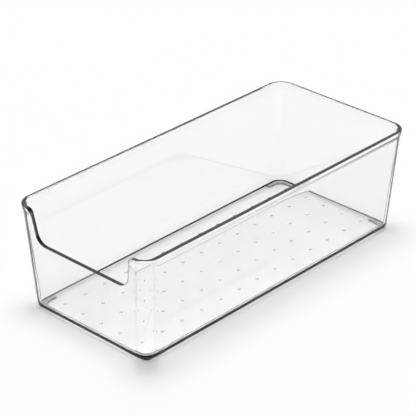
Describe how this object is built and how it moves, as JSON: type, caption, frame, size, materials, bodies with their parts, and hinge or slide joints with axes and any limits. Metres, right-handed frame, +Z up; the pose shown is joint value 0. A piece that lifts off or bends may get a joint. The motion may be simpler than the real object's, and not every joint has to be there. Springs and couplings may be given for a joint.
{
  "type": "open storage bin",
  "caption": "Clear open-top rectangular bin with drafted walls, a dipped front wall, a lipped rim, soft corner feet and grip dots on its floor, for sorting small things in a drawer.",
  "frame": {"origin": "under the middle of the bin, on the surface that the feet stand on", "axes": "+Z up, +Y along the length towards the back wall, the dipped front wall faces -Y, +X across the width"},
  "size_m": [0.1164, 0.254, 0.0764],
  "materials": {
    "clear_shell": "clear, polished moulded plastic",
    "soft_clear": "clear soft rubber, satin",
    "soft_dot": "clear soft rubber, satin"
  },
  "bodies": {
    "root": {"bin_shell": "clear_shell", "foot_back_left": "soft_clear", "foot_back_right": "soft_clear", "foot_front_left": "soft_clear", "foot_front_right": "soft_clear", "grip_dots": "soft_dot"}
  },
  "joints": []
}
